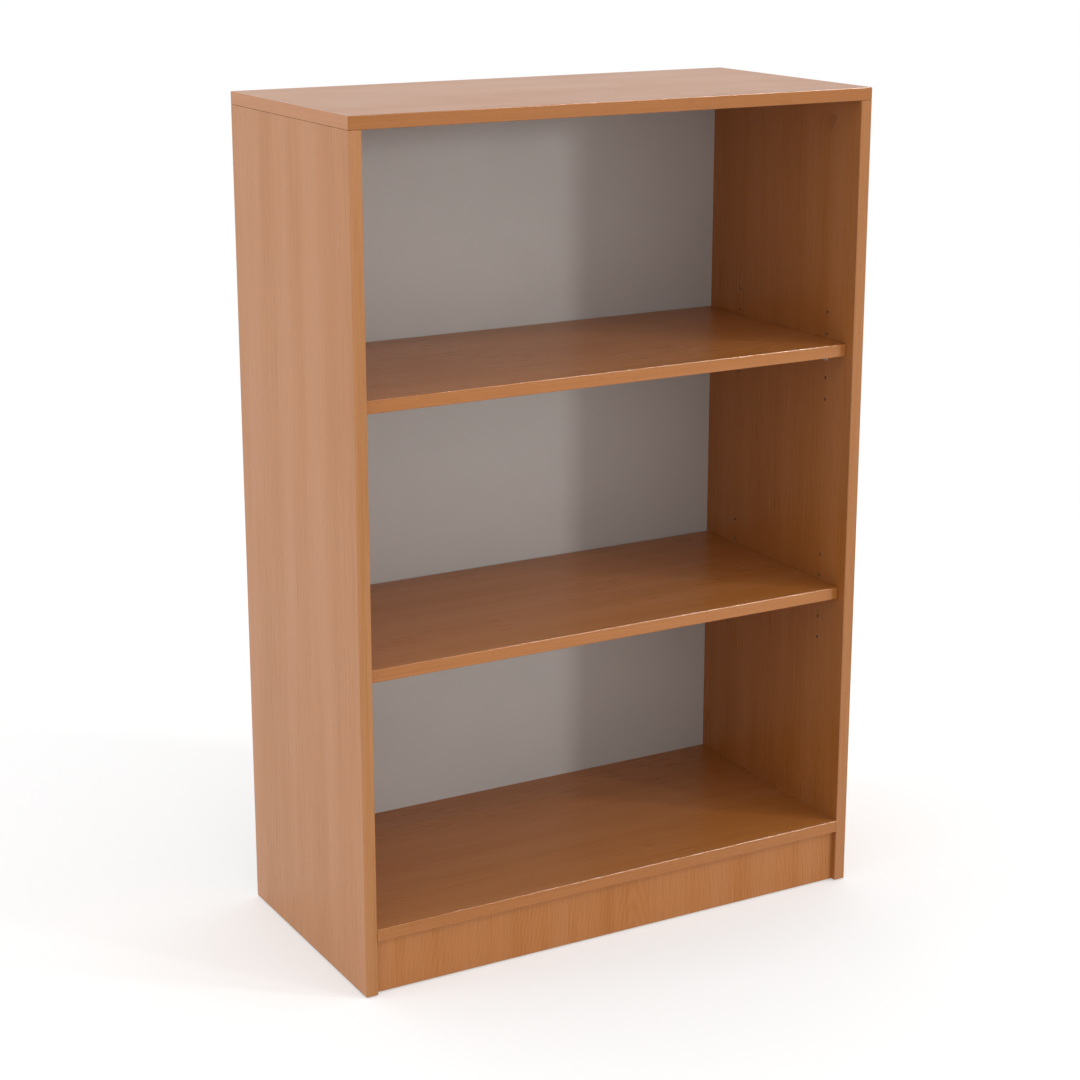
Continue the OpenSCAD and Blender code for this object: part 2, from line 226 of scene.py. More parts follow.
@dataclass(frozen=True)
class Noise:
    """Soft noise with a number of grains to the metre along X, Y and Z."""

    density: Point
    detail: float
    roughness: float = 0.5
    shift: Point = (0.0, 0.0, 0.0)

    @classmethod
    def even(cls, size: float, detail: float, roughness: float) -> "Noise":
        """Return noise whose grains have one size, the same all ways."""
        return cls((1 / size,) * 3, detail, roughness)

    def at(self, graph: Graph) -> Socket:
        """Return the noise, from 0 to 1."""
        return graph.add("ShaderNodeTexNoise", {
            "Vector": graph.scaled(self.density, self.shift), "Scale": 1.0,
            "Detail": self.detail, "Roughness": self.roughness})


@dataclass(frozen=True)
class Lay:
    """How a decor lies on one piece.

    Normal is square to the face that carries the decor. Shift moves the pattern, so that no two
    pieces are alike, and heart is where the arches have their middle, across the grain.
    """

    normal: Axis
    grain: Grain
    shift: Point
    heart: float = 0.0

    def along(self) -> Axis:
        """Return the direction along the grain."""
        return self.grain.value

    def across(self) -> Axis:
        """Return the direction across the grain on the face."""
        return self.normal.third(self.along())


@dataclass(frozen=True)
class Layer:
    """One layer of a decor: noise with a width across the wood's grain and a length along it.

    Stagger multiplies the piece's shift, so that the layers of a piece don't line up.
    """

    width: float
    length: float
    detail: float
    roughness: float
    stagger: float

    def at(self, graph: Graph, lay: Lay) -> Socket:
        """Return the layer's noise.

        Args:
            graph: the material that is made.
            lay: how the decor lies there.

        Returns:
            The noise, from 0 to 1.
        """
        density = [1 / self.width] * 3
        density[lay.along().value] = 1 / self.length
        shift = tuple(self.stagger * s for s in lay.shift)
        return Noise(tuple(density), self.detail, self.roughness, shift).at(graph)


@dataclass(frozen=True)
class WoodDecor:
    """Printed beech decor: wide soft bands, fine streaks, faint arches and short dark flecks."""

    light: Colour = (0.446, 0.171, 0.047)
    dark: Colour = (0.356, 0.122, 0.021)
    pale: Colour = (0.430, 0.171, 0.058)
    fleck: Colour = (0.270, 0.078, 0.014)
    # painted light: a tint per piece that makes the decor paler or darker as light and reflections
    # fall on that piece; white leaves it as it is
    painted_light_tint: Colour = WHITE
    bands: Layer = Layer(42 * MM, 900 * MM, 1.0, 0.4, 1.0)
    streaks: Layer = Layer(3.2 * MM, 220 * MM, 2.0, 0.6, 1.7)
    lines: Layer = Layer(1.1 * MM, 50 * MM, 1.0, 0.55, 2.3)
    wander: Layer = Layer(60 * MM, 300 * MM, 1.0, 0.5, 3.1)
    flecks: Layer = Layer(0.6 * MM, 4.2 * MM, 0.0, 0.5, 4.7)
    clusters: Layer = Layer(9 * MM, 50 * MM, 1.0, 0.5, 5.3)
    smears: Noise = Noise((6.0, 6.0, 6.0), 2.0, 0.6)
    band_gain: float = 0.9
    streak_gain: float = 1.5
    line_gain: float = 0.9
    pale_ramp: Ramp = Ramp(0.45, 0.75, 0.0, 0.55)
    fleck_ramp: Ramp = Ramp(0.66, 0.74)
    cluster_ramp: Ramp = Ramp(0.42, 0.62, 0.12, 0.45)
    arch_pitch: float = 9 * MM
    arch_length: float = 75 * MM
    arch_round: float = 2.2
    arch_wander: float = 5.0
    arch_gain: float = 0.10
    roughness: float = 0.30
    smear_roughness: float = 0.12
    line_roughness: float = 0.10

    def arches(self, graph: Graph, lay: Lay) -> Socket:
        """Return nested arches along the grain.

        A ring's number is the distance along the grain over the arch length, plus the distance
        from the heart line over the pitch, rounded off within arch_round pitches of that line,
        plus a slow wander. The sine of that number makes the rings.

        Args:
            graph: the material that is made.
            lay: how the decor lies there.

        Returns:
            The arches, from 0 to 1.
        """
        off = graph.math("SUBTRACT", graph.along(lay.across()), lay.heart)
        off = graph.math("DIVIDE", off, self.arch_round * self.arch_pitch)
        rounded = graph.math("SQRT", graph.math("MULTIPLY_ADD", off, off, 1.0))
        ring = graph.math("DIVIDE", graph.along(lay.along()), self.arch_length)
        ring = graph.math("MULTIPLY_ADD", rounded, self.arch_round, ring)
        ring = graph.math("MULTIPLY_ADD", self.wander.at(graph, lay), self.arch_wander, ring)
        return graph.math("MULTIPLY_ADD", graph.wave(ring), 0.5, 0.5)

    def paint(self, graph: Graph, lay: Lay) -> Surface:
        """Lay the decor over a board or band.

        The tone between dark and light is the middle plus, for each layer, its gain times how
        far it is above its own middle.

        Args:
            graph: the material that is made.
            lay: how the decor lies there.

        Returns:
            The decor's colour, height and roughness.
        """
        bands = self.bands.at(graph, lay)
        lines = self.lines.at(graph, lay)
        tone = graph.sway(0.5, self.streaks.at(graph, lay), self.streak_gain)
        tone = graph.sway(tone, lines, self.line_gain)
        tone = graph.sway(tone, self.arches(graph, lay), self.arch_gain)
        tone = graph.sway(tone, bands, self.band_gain, clamp=True)
        colour = graph.mixed(tone, self.dark, self.light)
        colour = graph.mixed(graph.remap(bands, self.pale_ramp), colour, self.pale)
        flecks = graph.remap(self.flecks.at(graph, lay), self.fleck_ramp)
        clusters = graph.remap(self.clusters.at(graph, lay), self.cluster_ramp)
        colour = graph.mixed(graph.math("MULTIPLY", flecks, clusters), colour, self.fleck)
        smears = replace(self.smears, shift=lay.shift).at(graph)
        roughness = graph.sway(self.roughness, smears, self.smear_roughness)
        roughness = graph.sway(roughness, lines, self.line_roughness)
        # painted light: the piece's tint multiplies the decor colour last
        return Surface(graph.mixed(1.0, colour, self.painted_light_tint, "MULTIPLY"), lines, roughness)


BAND_DECOR = WoodDecor(streaks=replace(WoodDecor.streaks, width=2.4 * MM), streak_gain=1.2,
                       line_gain=0.72, arch_gain=0.0, roughness=0.16)


@dataclass(frozen=True)
class ChipCore:
    """Raw chipboard on a cut edge or in a bore: coarse flat chips between two fine dusty layers."""

    pale: Colour = (0.665, 0.465, 0.275)
    tan: Colour = (0.500, 0.310, 0.160)
    dark: Colour = (0.285, 0.155, 0.070)
    chip: float = 2.6 * MM
    flatness: float = 2.4
    bend: Noise = Noise((260.0, 260.0, 260.0), 1.0)
    dust: Noise = Noise.even(0.6 * MM, 2.0, 0.6)
    dust_tone: float = 0.60
    dust_gain: float = 1.1
    coarse_ramp: Ramp = Ramp(0.18, 0.42)
    tan_ramp: Ramp = Ramp(0.0, 0.35)
    pale_ramp: Ramp = Ramp(0.30, 0.95)
    chip_dome: float = -0.7
    roughness: float = 0.86
    tone_roughness: float = 0.08

    def paint(self, graph: Graph, thickness: Axis, depth: Socket) -> Surface:
        """Lay the pressed chips.

        Args:
            graph: the material that is made.
            thickness: the direction through the board.
            depth: how deep the place is in the board, 0 at a face and 1 in the middle.

        Returns:
            The core's colour, height and roughness.
        """
        density = [1 / self.chip] * 3
        density[thickness.value] = self.flatness / self.chip
        bent = graph.add("ShaderNodeVectorMath",
                         {0: graph.scaled(tuple(density)), 1: self.bend.at(graph)}, operation="ADD")
        chips = graph.node("ShaderNodeTexVoronoi", {"Vector": bent, "Scale": 1.0})
        coarse = graph.add("ShaderNodeSeparateXYZ", {0: chips.outputs["Color"]})
        tone = graph.blended(graph.remap(depth, self.coarse_ramp), self.dust_tone, coarse)
        tone = graph.sway(tone, self.dust.at(graph), self.dust_gain, clamp=True)
        colour = graph.mixed(graph.remap(tone, self.tan_ramp), self.dark, self.tan)
        colour = graph.mixed(graph.remap(tone, self.pale_ramp), colour, self.pale)
        height = graph.math("MULTIPLY_ADD", chips.outputs["Distance"], self.chip_dome, coarse)
        return Surface(colour, height, graph.sway(self.roughness, tone, self.tone_roughness))


@dataclass(frozen=True)
class CoatedBoard:
    """Chipboard with a decor foil on its two wide faces and its raw core on every cut edge."""

    name: str
    low: Point
    high: Point
    lay: Lay
    decor: WoodDecor = WoodDecor()
    core: ChipCore = ChipCore()
    foil: float = 0.35 * MM
    # painted shade: the dark colour that the core turns towards in the bores and grooves
    bore_shade: Colour = (0.100, 0.052, 0.022)
    bore_shade_share: float = 0.65
    bore_shade_from: float = 1 * MM
    foil_relief: float = 0.05
    core_relief: float = 0.6
    relief: Relief = Relief(0.8 * MM, 0.35)
    ior: float = 1.43

    def margin(self, graph: Graph, axis: Axis) -> Socket:
        """Return how far inside the board's box a place is along one axis."""
        where = graph.along(axis)
        return graph.math("MINIMUM", graph.math("SUBTRACT", where, self.low[axis.value]),
                          graph.math("SUBTRACT", self.high[axis.value], where))

    def material(self) -> bpy.types.Material:
        """Make the board's material.

        The foil shows where the place is within its thickness of a wide face, and the core
        everywhere else: on the cut edges, in the grooves and in the bores. Within the board's
        outline, in its bores and grooves, the core is darkened with painted shade.

        Returns:
            The material.
        """
        graph = Graph(bpy.data.materials.new(self.name))
        through = self.lay.normal
        half = (self.high[through.value] - self.low[through.value]) / 2
        from_face = self.margin(graph, through)
        from_edge = graph.math("MINIMUM", self.margin(graph, self.lay.along()),
                               self.margin(graph, self.lay.across()))
        skin = self.decor.paint(graph, self.lay)
        core = self.core.paint(graph, through, graph.math("DIVIDE", from_face, half))
        # painted shade: away from the board's outline, in bores and grooves, the core colour is
        # darkened
        inside = graph.math("GREATER_THAN", from_edge, self.bore_shade_from)
        shaded_core_colour = graph.mixed(graph.math("MULTIPLY", inside, self.bore_shade_share),
                                  core.colour, self.bore_shade)
        raw = graph.math("GREATER_THAN", from_face, self.foil)
        colour = graph.mixed(raw, skin.colour, shaded_core_colour)
        height = graph.blended(raw, graph.math("MULTIPLY", skin.height, self.foil_relief),
                               graph.math("MULTIPLY", core.height, self.core_relief))
        roughness = graph.blended(raw, skin.roughness, core.roughness)
        return graph.finish(Surface(colour, height, roughness), self.relief, self.ior)


@dataclass(frozen=True)
class EdgeBandFinish:
    """Plastic edge band with the same decor, a little glossier, with a fine dark glue line."""

    name: str
    glued_at: float
    lay: Lay
    decor: WoodDecor = BAND_DECOR
    glue: Colour = (0.060, 0.024, 0.010)
    glue_line: float = 0.18 * MM
    glue_core: float = 0.4
    glue_share: float = 0.65
    relief: Relief = Relief(0.04 * MM, 0.35)
    ior: float = 1.46

    def material(self) -> bpy.types.Material:
        """Make the band's material, which darkens towards the glued face.

        Returns:
            The material.
        """
        graph = Graph(bpy.data.materials.new(self.name))
        skin = self.decor.paint(graph, self.lay)
        away = graph.math("SUBTRACT", graph.along(self.lay.normal), self.glued_at)
        fading = Ramp(self.glue_core * self.glue_line, self.glue_line, self.glue_share, 0.0)
        glued = graph.remap(graph.math("ABSOLUTE", away), fading)
        colour = graph.mixed(glued, skin.colour, self.glue)
        return graph.finish(replace(skin, colour=colour), self.relief, self.ior)


@dataclass(frozen=True)
class Hardboard:
    """Thin hardboard: grey lacquer in front, and brown fibre with a screen mark behind."""

    name: str
    front: float
    lacquer: Colour = (0.500, 0.480, 0.458)
    lacquer_depth: float = 0.2 * MM
    cloud: Noise = Noise((5.0, 5.0, 5.0), 3.0, 0.5, (3.0, 1.0, 7.0))
    cloud_ramp: Ramp = Ramp(0.35, 0.65, 0.0, 0.5)
    cloud_dim: float = 0.90
    peel: Noise = Noise((520.0, 520.0, 520.0), 1.0)
    peel_relief: float = 0.12
    gloss_ramp: Ramp = Ramp(0.3, 0.7, 0.36, 0.44)
    fibre: Colour = (0.268, 0.148, 0.074)
    fibre_dark: Colour = (0.168, 0.085, 0.040)
    fibres: Noise = Noise((420.0, 420.0, 900.0), 4.0, 0.65)
    fibre_tone: float = 0.45
    fibre_gain: float = 1.5
    fibre_relief: float = 0.5
    patches: Noise = Noise((14.0, 14.0, 9.0), 3.0, 0.55)
    patch_gain: float = 0.9
    screen_pitch: float = 2.1 * MM
    screen_gain: float = 0.25
    screen_relief: float = 0.6
    fibre_roughness: float = 0.82
    relief: Relief = Relief(0.25 * MM, 0.5)

    def screen(self, graph: Graph) -> Socket:
        """Return the screen mark from 0 to 1, a sine wave along X times one along Z."""
        waves = (graph.wave(graph.along(axis), self.screen_pitch) for axis in (Axis.X, Axis.Z))
        return graph.math("MULTIPLY_ADD", graph.math("MULTIPLY", *waves), 0.5, 0.5)

    def material(self) -> bpy.types.Material:
        """Make the panel's material: lacquer within its depth of the front face, and fibre behind.

        Returns:
            The material.
        """
        graph = Graph(bpy.data.materials.new(self.name))
        raw = graph.math("GREATER_THAN", graph.along(Axis.Y), self.front + self.lacquer_depth)
        screen = self.screen(graph)
        fibres = self.fibres.at(graph)
        tone = graph.sway(self.fibre_tone, fibres, self.fibre_gain)
        tone = graph.sway(tone, self.patches.at(graph), self.patch_gain)
        tone = graph.sway(tone, screen, self.screen_gain, clamp=True)
        rear = graph.mixed(tone, self.fibre_dark, self.fibre)
        cloud = self.cloud.at(graph)
        dimmed = tuple(self.cloud_dim * c for c in self.lacquer)
        front = graph.mixed(graph.remap(cloud, self.cloud_ramp), self.lacquer, dimmed)
        fibre_height = graph.math("MULTIPLY_ADD", screen, self.screen_relief,
                                  graph.math("MULTIPLY", fibres, self.fibre_relief))
        peel_height = graph.math("MULTIPLY", self.peel.at(graph), self.peel_relief)
        height = graph.blended(raw, peel_height, fibre_height)
        roughness = graph.blended(raw, graph.remap(cloud, self.gloss_ramp), self.fibre_roughness)
        return graph.finish(Surface(graph.mixed(raw, front, rear), height, roughness), self.relief)


@dataclass(frozen=True)
class PlatedMetal:
    """Die-cast or turned metal under a thin plating, with fine pits and rubbed streaks."""

    name: str
    plain: Colour = (0.640, 0.645, 0.660)
    dull: Colour = (0.420, 0.415, 0.410)
    roughness: float = 0.34
    pits: Noise = Noise.even(0.5 * MM, 3.0, 0.6)
    pit_share: float = 0.7
    rubs: Noise = Noise((90.0, 1400.0, 220.0), 2.0, 0.6)
    rub_roughness: float = 0.22
    film: Noise = Noise((160.0, 160.0, 160.0), 3.0, 0.6, (2.0, 5.0, 1.0))
    film_ramp: Ramp = Ramp(0.42, 0.72)
    film_roughness: float = 0.20
    relief: Relief = Relief(0.03 * MM, 0.4)

    def material(self) -> bpy.types.Material:
        """Make the metal's material, whose height is part pits and part rubbed streaks.

        Returns:
            The material.
        """
        graph = Graph(bpy.data.materials.new(self.name))
        rubs = self.rubs.at(graph)
        film = self.film.at(graph)
        colour = graph.mixed(graph.remap(film, self.film_ramp), self.plain, self.dull)
        height = graph.blended(self.pit_share, rubs, self.pits.at(graph))
        roughness = graph.sway(self.roughness, rubs, self.rub_roughness)
        roughness = graph.sway(roughness, film, self.film_roughness)
        return graph.finish(Surface(colour, height, roughness), self.relief, metallic=1.0)


@dataclass(frozen=True)
class MouldedPlastic:
    """Moulded plastic with the fine spark texture of its mould and slightly rubbed high spots."""

    name: str
    colour: Colour
    rubbed: Colour
    roughness: float = 0.48
    sparks: Noise = Noise.even(0.35 * MM, 3.0, 0.6)
    spark_roughness: float = 0.25
    cloud: Noise = Noise((180.0, 180.0, 180.0), 3.0, 0.55)
    rubbed_ramp: Ramp = Ramp(0.40, 0.75)
    relief: Relief = Relief(0.04 * MM, 0.4)
    ior: float = 1.48

    def material(self) -> bpy.types.Material:
        """Make the plastic's material.

        Returns:
            The material.
        """
        graph = Graph(bpy.data.materials.new(self.name))
        sparks = self.sparks.at(graph)
        rubbed = graph.remap(self.cloud.at(graph), self.rubbed_ramp)
        colour = graph.mixed(rubbed, self.colour, self.rubbed)
        roughness = graph.sway(self.roughness, sparks, self.spark_roughness)
        return graph.finish(Surface(colour, sparks, roughness), self.relief, self.ior)


@dataclass(frozen=True)
class RawBeech:
    """Bare turned beech of the dowels, with fine streaks and small dark rays."""

    name: str
    light: Colour = (0.610, 0.400, 0.225)
    dark: Colour = (0.430, 0.245, 0.115)
    ray: Colour = (0.250, 0.120, 0.050)
    streaks: Noise = Noise((60.0, 1400.0, 900.0), 3.0, 0.6)
    rays: Noise = Noise((420.0, 2600.0, 2600.0), 0.0)
    ray_ramp: Ramp = Ramp(0.64, 0.74, 0.0, 0.6)
    gloss_ramp: Ramp = Ramp(0.2, 0.8, 0.78, 0.66)
    relief: Relief = Relief(0.08 * MM, 0.4)

    def material(self) -> bpy.types.Material:
        """Make the wood's material.

        Returns:
            The material.
        """
        graph = Graph(bpy.data.materials.new(self.name))
        streaks = self.streaks.at(graph)
        rays = graph.remap(self.rays.at(graph), self.ray_ramp)
        colour = graph.mixed(rays, graph.mixed(streaks, self.dark, self.light), self.ray)
        roughness = graph.remap(streaks, self.gloss_ramp)
        return graph.finish(Surface(colour, streaks, roughness), self.relief)


@dataclass(frozen=True)
class Shell:
    """A closed mesh: its corners and its faces, which point outwards."""

    corners: np.ndarray
    faces: list[tuple[int, ...]]


@dataclass(frozen=True)
class Outline:
    """A closed line, counterclockwise in a plane, with the inward direction at each point."""

    points: np.ndarray
    inward: np.ndarray

    @classmethod
    def filleted(cls, corners: list[tuple[float, float]], radii: list[float], steps: int,
                 lead: float = 0.25) -> "Outline":
        """Make the outline of a convex polygon with rounded corners.

        At a corner the line turns by an angle a, so an arc of radius r starts r times
        tan(a / 2) before the corner. Its centre lies r to the left of the line there, and its
        points are the centre plus r times the direction that turns from first to last. One
        more point on the straight line before and after each arc keeps the flats' shading flat.

        Args:
            corners: the polygon's corners, counterclockwise.
            radii: the rounding radius at each corner.
            steps: chords to each arc.
            lead: how far the straight points lie from an arc, in radii.

        Returns:
            The outline.
        """
        tip, r = np.array(corners, float), np.array(radii, float)[:, None]
        before, after = tip - np.roll(tip, 1, 0), np.roll(tip, -1, 0) - tip
        before /= np.linalg.norm(before, axis=1, keepdims=True)
        after /= np.linalg.norm(after, axis=1, keepdims=True)
        left = np.stack([-before[:, 1], before[:, 0]], 1)
        turn = np.arctan2((left * after).sum(1), (before * after).sum(1))[:, None]
        centre = tip - before * r * np.tan(turn / 2) + left * r
        first = np.arctan2(-left[:, 1], -left[:, 0])[:, None]
        angle = first + turn * np.linspace(0, 1, steps + 1)
        out = np.stack([np.cos(angle), np.sin(angle)], 2)
        arc = centre[:, None] + out * r[:, None]
        gap = lead * r[:, None]
        line = np.concatenate([arc[:, :1] - before[:, None] * gap, arc,
                               arc[:, -1:] + after[:, None] * gap], 1)
        out = np.concatenate([out[:, :1], out, out[:, -1:]], 1)
        return cls(line.reshape(-1, 2), -out.reshape(-1, 2))

    @classmethod
    def ring(cls, radius: float, steps: int) -> "Outline":
        """Make a circle about the plane's origin, each point radius times its own direction.

        Args:
            radius: the circle's radius.
            steps: its number of points.

        Returns:
            The outline.
        """
        angle = np.linspace(0, math.tau, steps, endpoint=False)
        out = np.stack([np.cos(angle), np.sin(angle)], 1)
        return cls(out * radius, -out)

    def carried(self, origin: Point, u: Point, v: Point, profile: np.ndarray) -> Shell:
        """Carry a profile round the outline and close both ends.

        The plane's axes are u and v, and the shell grows along their cross product w. Row i
        of the grid is the outline moved inwards by the profile's first number and along w by
        its second: origin + u x + v y + inset (u nx + v ny) + height w.

        Args:
            origin: the plane's origin in the model's frame.
            u: the plane's first axis.
            v: the plane's second axis.
            profile: rows of inset and height, from the lowest height to the highest.

        Returns:
            The shell.
        """
        plane, w = np.array([u, v], float), np.cross(u, v)
        line, inward = self.points @ plane, self.inward @ plane
        rows = (np.array(origin, float) + line[None] + profile[:, :1, None] * inward[None]
                + profile[:, 1:, None] * w)
        count, n = len(profile), len(line)
        index = np.arange(count * n).reshape(count, n)
        after = np.roll(index, -1, 1)
        side = np.stack([index[:-1], after[:-1], after[1:], index[1:]], 2)
        faces = [tuple(f) for f in side.reshape(-1, 4).tolist()]
        ends = [tuple(index[0, ::-1].tolist()), tuple(index[-1].tolist())]
        return Shell(rows.reshape(-1, 3), faces + ends)


def eased(height: float, edge: float, steps: int = 3, low: bool = True) -> np.ndarray:
    """Make the profile of a plate whose outer edges are rounded by a quarter circle.

    Args:
        height: the plate's thickness.
        edge: the rounding's radius.
        steps: chords to each quarter.
        low: whether the lower edge is rounded too.

    Returns:
        Rows of inset and height: inset is edge (1 - cos a) and height is edge (1 - sin a)
        from an end, for a from 0 to a quarter turn, with one more row on each flat.
    """
    a = np.linspace(math.pi / 2, 0, steps + 1)
    foot = np.stack([edge * (1 - np.cos(a)), edge * (1 - np.sin(a))], 1)
    foot = np.concatenate([[[edge + FLAT_ROW, 0.0]], foot])
    upper = np.stack([foot[:, 0], height - foot[:, 1]], 1)[::-1]
    return np.concatenate([foot if low else np.zeros((1, 2)), upper])


def make_piece(name: str, shells: list[Shell], material: bpy.types.Material, body: str,
               stands_for: str) -> bpy.types.Object:
    """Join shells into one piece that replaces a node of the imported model.

    Args:
        name: the piece's name.
        shells: its closed shells.
        material: its finish.
        body: the body that it rides on.
        stands_for: the node that it replaces.

    Returns:
        The piece.
    """
    starts = np.cumsum([0, *(len(shell.corners) for shell in shells)])
    faces = [tuple(i + start for i in face)
             for shell, start in zip(shells, starts) for face in shell.faces]
    mesh = bpy.data.meshes.new(name)
    mesh.from_pydata(np.concatenate([shell.corners for shell in shells]).tolist(), [], faces)
    mesh.polygons.foreach_set("use_smooth", np.array([len(face) == 4 for face in faces]))
    mesh.set_sharp_from_angle(angle=SHARP_FROM)
    mesh.materials.append(material)
    piece = bpy.data.objects.new(name, mesh)
    bpy.context.scene.collection.objects.link(piece)
    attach(piece, body)
    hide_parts(stands_for)
    LOG.info("piece %s made, %d faces, for %s", name, len(faces), stands_for)
    return piece


def corners_of(name: str) -> tuple[np.ndarray, np.ndarray]:
    """Return the lowest and highest corner of a node's box."""
    low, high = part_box(name)
    return np.array(low, float), np.array(high, float)


def coat(obj: bpy.types.Object, material: bpy.types.Material) -> None:
    """Give a piece or node one finish all over."""
    obj.data.materials.clear()
    obj.data.materials.append(material)


def coat_node(name: str, material: bpy.types.Material) -> None:
    """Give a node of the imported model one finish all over."""
    coat(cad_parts[name], material)
    LOG.info("node %s dressed in %s", name, material.name)


@dataclass
class Board:
    """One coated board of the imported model."""

    node: str
    lay: Lay
    decor: WoodDecor = WoodDecor()

    def dress(self) -> None:
        """Give the board its decor foil and its raw core."""
        low, high = (tuple(corner.tolist()) for corner in corners_of(self.node))
        finish = CoatedBoard(f"{self.node}_board", low, high, self.lay, self.decor)
        coat_node(self.node, finish.material())


@dataclass
class Band:
    """One edge band: a strip glued to a board's edge, with its outer corners rounded.

    Outward is 1 or -1, the way that the band faces along its lay's normal. Radius rounds its
    outer corners, and tight those at the glue line.
    """

    node: str
    lay: Lay
    outward: int
    # painted light: tint for the band's decor, paler or darker for how light and reflections fall on
    # this band
    painted_light_tint: Colour = WHITE
    body: str = "carcass"
    radius: float = 1.5 * MM
    tight: float = 0.08 * MM
    steps: int = 6
    rounded_ends: bool = False

    def strip(self, low: np.ndarray, high: np.ndarray) -> Shell:
        """Carry the band's section along the grain, between its two flat ends.

        Args:
            low: the lowest corner of the band's box.
            high: its highest corner.

        Returns:
            The strip.
        """
        depth, length = self.lay.normal.value, self.lay.along().value
        size = high - low
        axes = np.eye(3)
        u = axes[self.lay.across().value]
        v = axes[depth] * self.outward
        start = np.where(v < 0, high, low)
        if np.cross(u, v)[length] < 0:
            start[length] = high[length]
        wide, thick = size @ u, size[depth]
        corners = [(0.0, 0.0), (wide, 0.0), (wide, thick), (0.0, thick)]
        radii = [self.tight, self.tight, self.radius, self.radius]
        section = Outline.filleted(corners, radii, self.steps)
        return section.carried(tuple(start), tuple(u), tuple(v),
                               np.array([[0.0, 0.0], [0.0, size[length]]]))

    def plate(self, low: np.ndarray, high: np.ndarray) -> Shell:
        """Carry the rounding round all four edges of a front band's outer face.

        Args:
            low: the lowest corner of the band's box.
            high: its highest corner.

        Returns:
            The plate.
        """
        wide, thick, tall = high - low
        corners = [(0.0, 0.0), (wide, 0.0), (wide, tall), (0.0, tall)]
        face = Outline.filleted(corners, [self.radius + self.tight] * 4, self.steps)
        return face.carried((low[0], high[1], low[2]), (1.0, 0.0, 0.0), (0.0, 0.0, 1.0),
                            eased(thick, self.radius, self.steps, low=False))

    def build(self) -> None:
        """Make the band in its node's box, with its decor and glue line."""
        low, high = corners_of(self.node)
        glued_at = float((low if self.outward > 0 else high)[self.lay.normal.value])
        finish = EdgeBandFinish(f"{self.node}_band", glued_at, self.lay,
                                replace(BAND_DECOR, painted_light_tint=self.painted_light_tint))
        shell = self.plate(low, high) if self.rounded_ends else self.strip(low, high)
        make_piece(f"{self.node}_strip", [shell], finish.material(), self.body,
                   self.node)


@dataclass
class Carcass:
    """The fixed boards, their bands and the thin back panel."""

    # the board tints below are painted light: the left side paler for reflected white from the floor,
    # the top a little darker for less sheen
    boards: tuple[Board, ...] = (
        Board("left_side", Lay(Axis.X, Grain.UPRIGHT, (0.0, 3.0, 1.0), -0.05),
              WoodDecor(painted_light_tint=(1.00, 1.08, 1.36))),
        Board("right_side", Lay(Axis.X, Grain.UPRIGHT, (11.0, 7.0, 4.0), 0.07)),
        Board("top_panel", Lay(Axis.Z, Grain.ACROSS, (5.0, 2.0, 8.0), 0.03),
              WoodDecor(painted_light_tint=(0.98, 0.97, 0.92), roughness=0.34)),
        Board("bottom_shelf", Lay(Axis.Z, Grain.ACROSS, (9.0, 13.0, 6.0), -0.09)),
        Board("plinth", Lay(Axis.Y, Grain.UPRIGHT, (2.0, 5.0, 17.0), 0.027),
              WoodDecor(arch_pitch=6 * MM, arch_length=38 * MM, arch_gain=0.35)),
    )
    # the band tints below are painted light: the side bands paler for reflected white, the top front
    # and bottom shelf bands darker for less reflected light
    bands: tuple[Band, ...] = (
        Band("left_side_edging", Lay(Axis.Y, Grain.UPRIGHT, (1.0, 4.0, 2.0)), -1,
             painted_light_tint=(1.03, 1.16, 1.50)),
        Band("right_side_edging", Lay(Axis.Y, Grain.UPRIGHT, (8.0, 3.0, 5.0)), -1,
             painted_light_tint=(0.96, 1.03, 1.28)),
        Band("top_front_edging", Lay(Axis.Y, Grain.ACROSS, (3.0, 6.0, 9.0)), -1,
             painted_light_tint=(0.88, 0.83, 0.66), rounded_ends=True),
        Band("top_left_edging", Lay(Axis.X, Grain.DEEP, (7.0, 1.0, 4.0)), -1),
        Band("top_right_edging", Lay(Axis.X, Grain.DEEP, (2.0, 8.0, 3.0)), 1),
        Band("bottom_shelf_edging", Lay(Axis.Y, Grain.ACROSS, (6.0, 9.0, 1.0)), -1,
             painted_light_tint=(0.93, 0.90, 0.80)),
    )

    def build(self) -> None:
        """Dress every fixed board and the back panel, and make the bands."""
        for board in self.boards:
            board.dress()
        for band in self.bands:
            band.build()
        front = float(corners_of("back_panel")[0][Axis.Y.value])
        coat_node("back_panel", Hardboard("back_panel_hardboard", front).material())


@dataclass
class LooseShelf:
    """One adjustable shelf with its front band."""

    node: str
    heart: float
    shift: Point

    def build(self) -> None:
        """Dress the shelf and make its band."""
        Board(self.node, Lay(Axis.Z, Grain.ACROSS, self.shift, self.heart)).dress()
        band_lay = Lay(Axis.Y, Grain.ACROSS, self.shift[::-1])
        Band(f"{self.node}_edging", band_lay, -1, body=self.node).build()


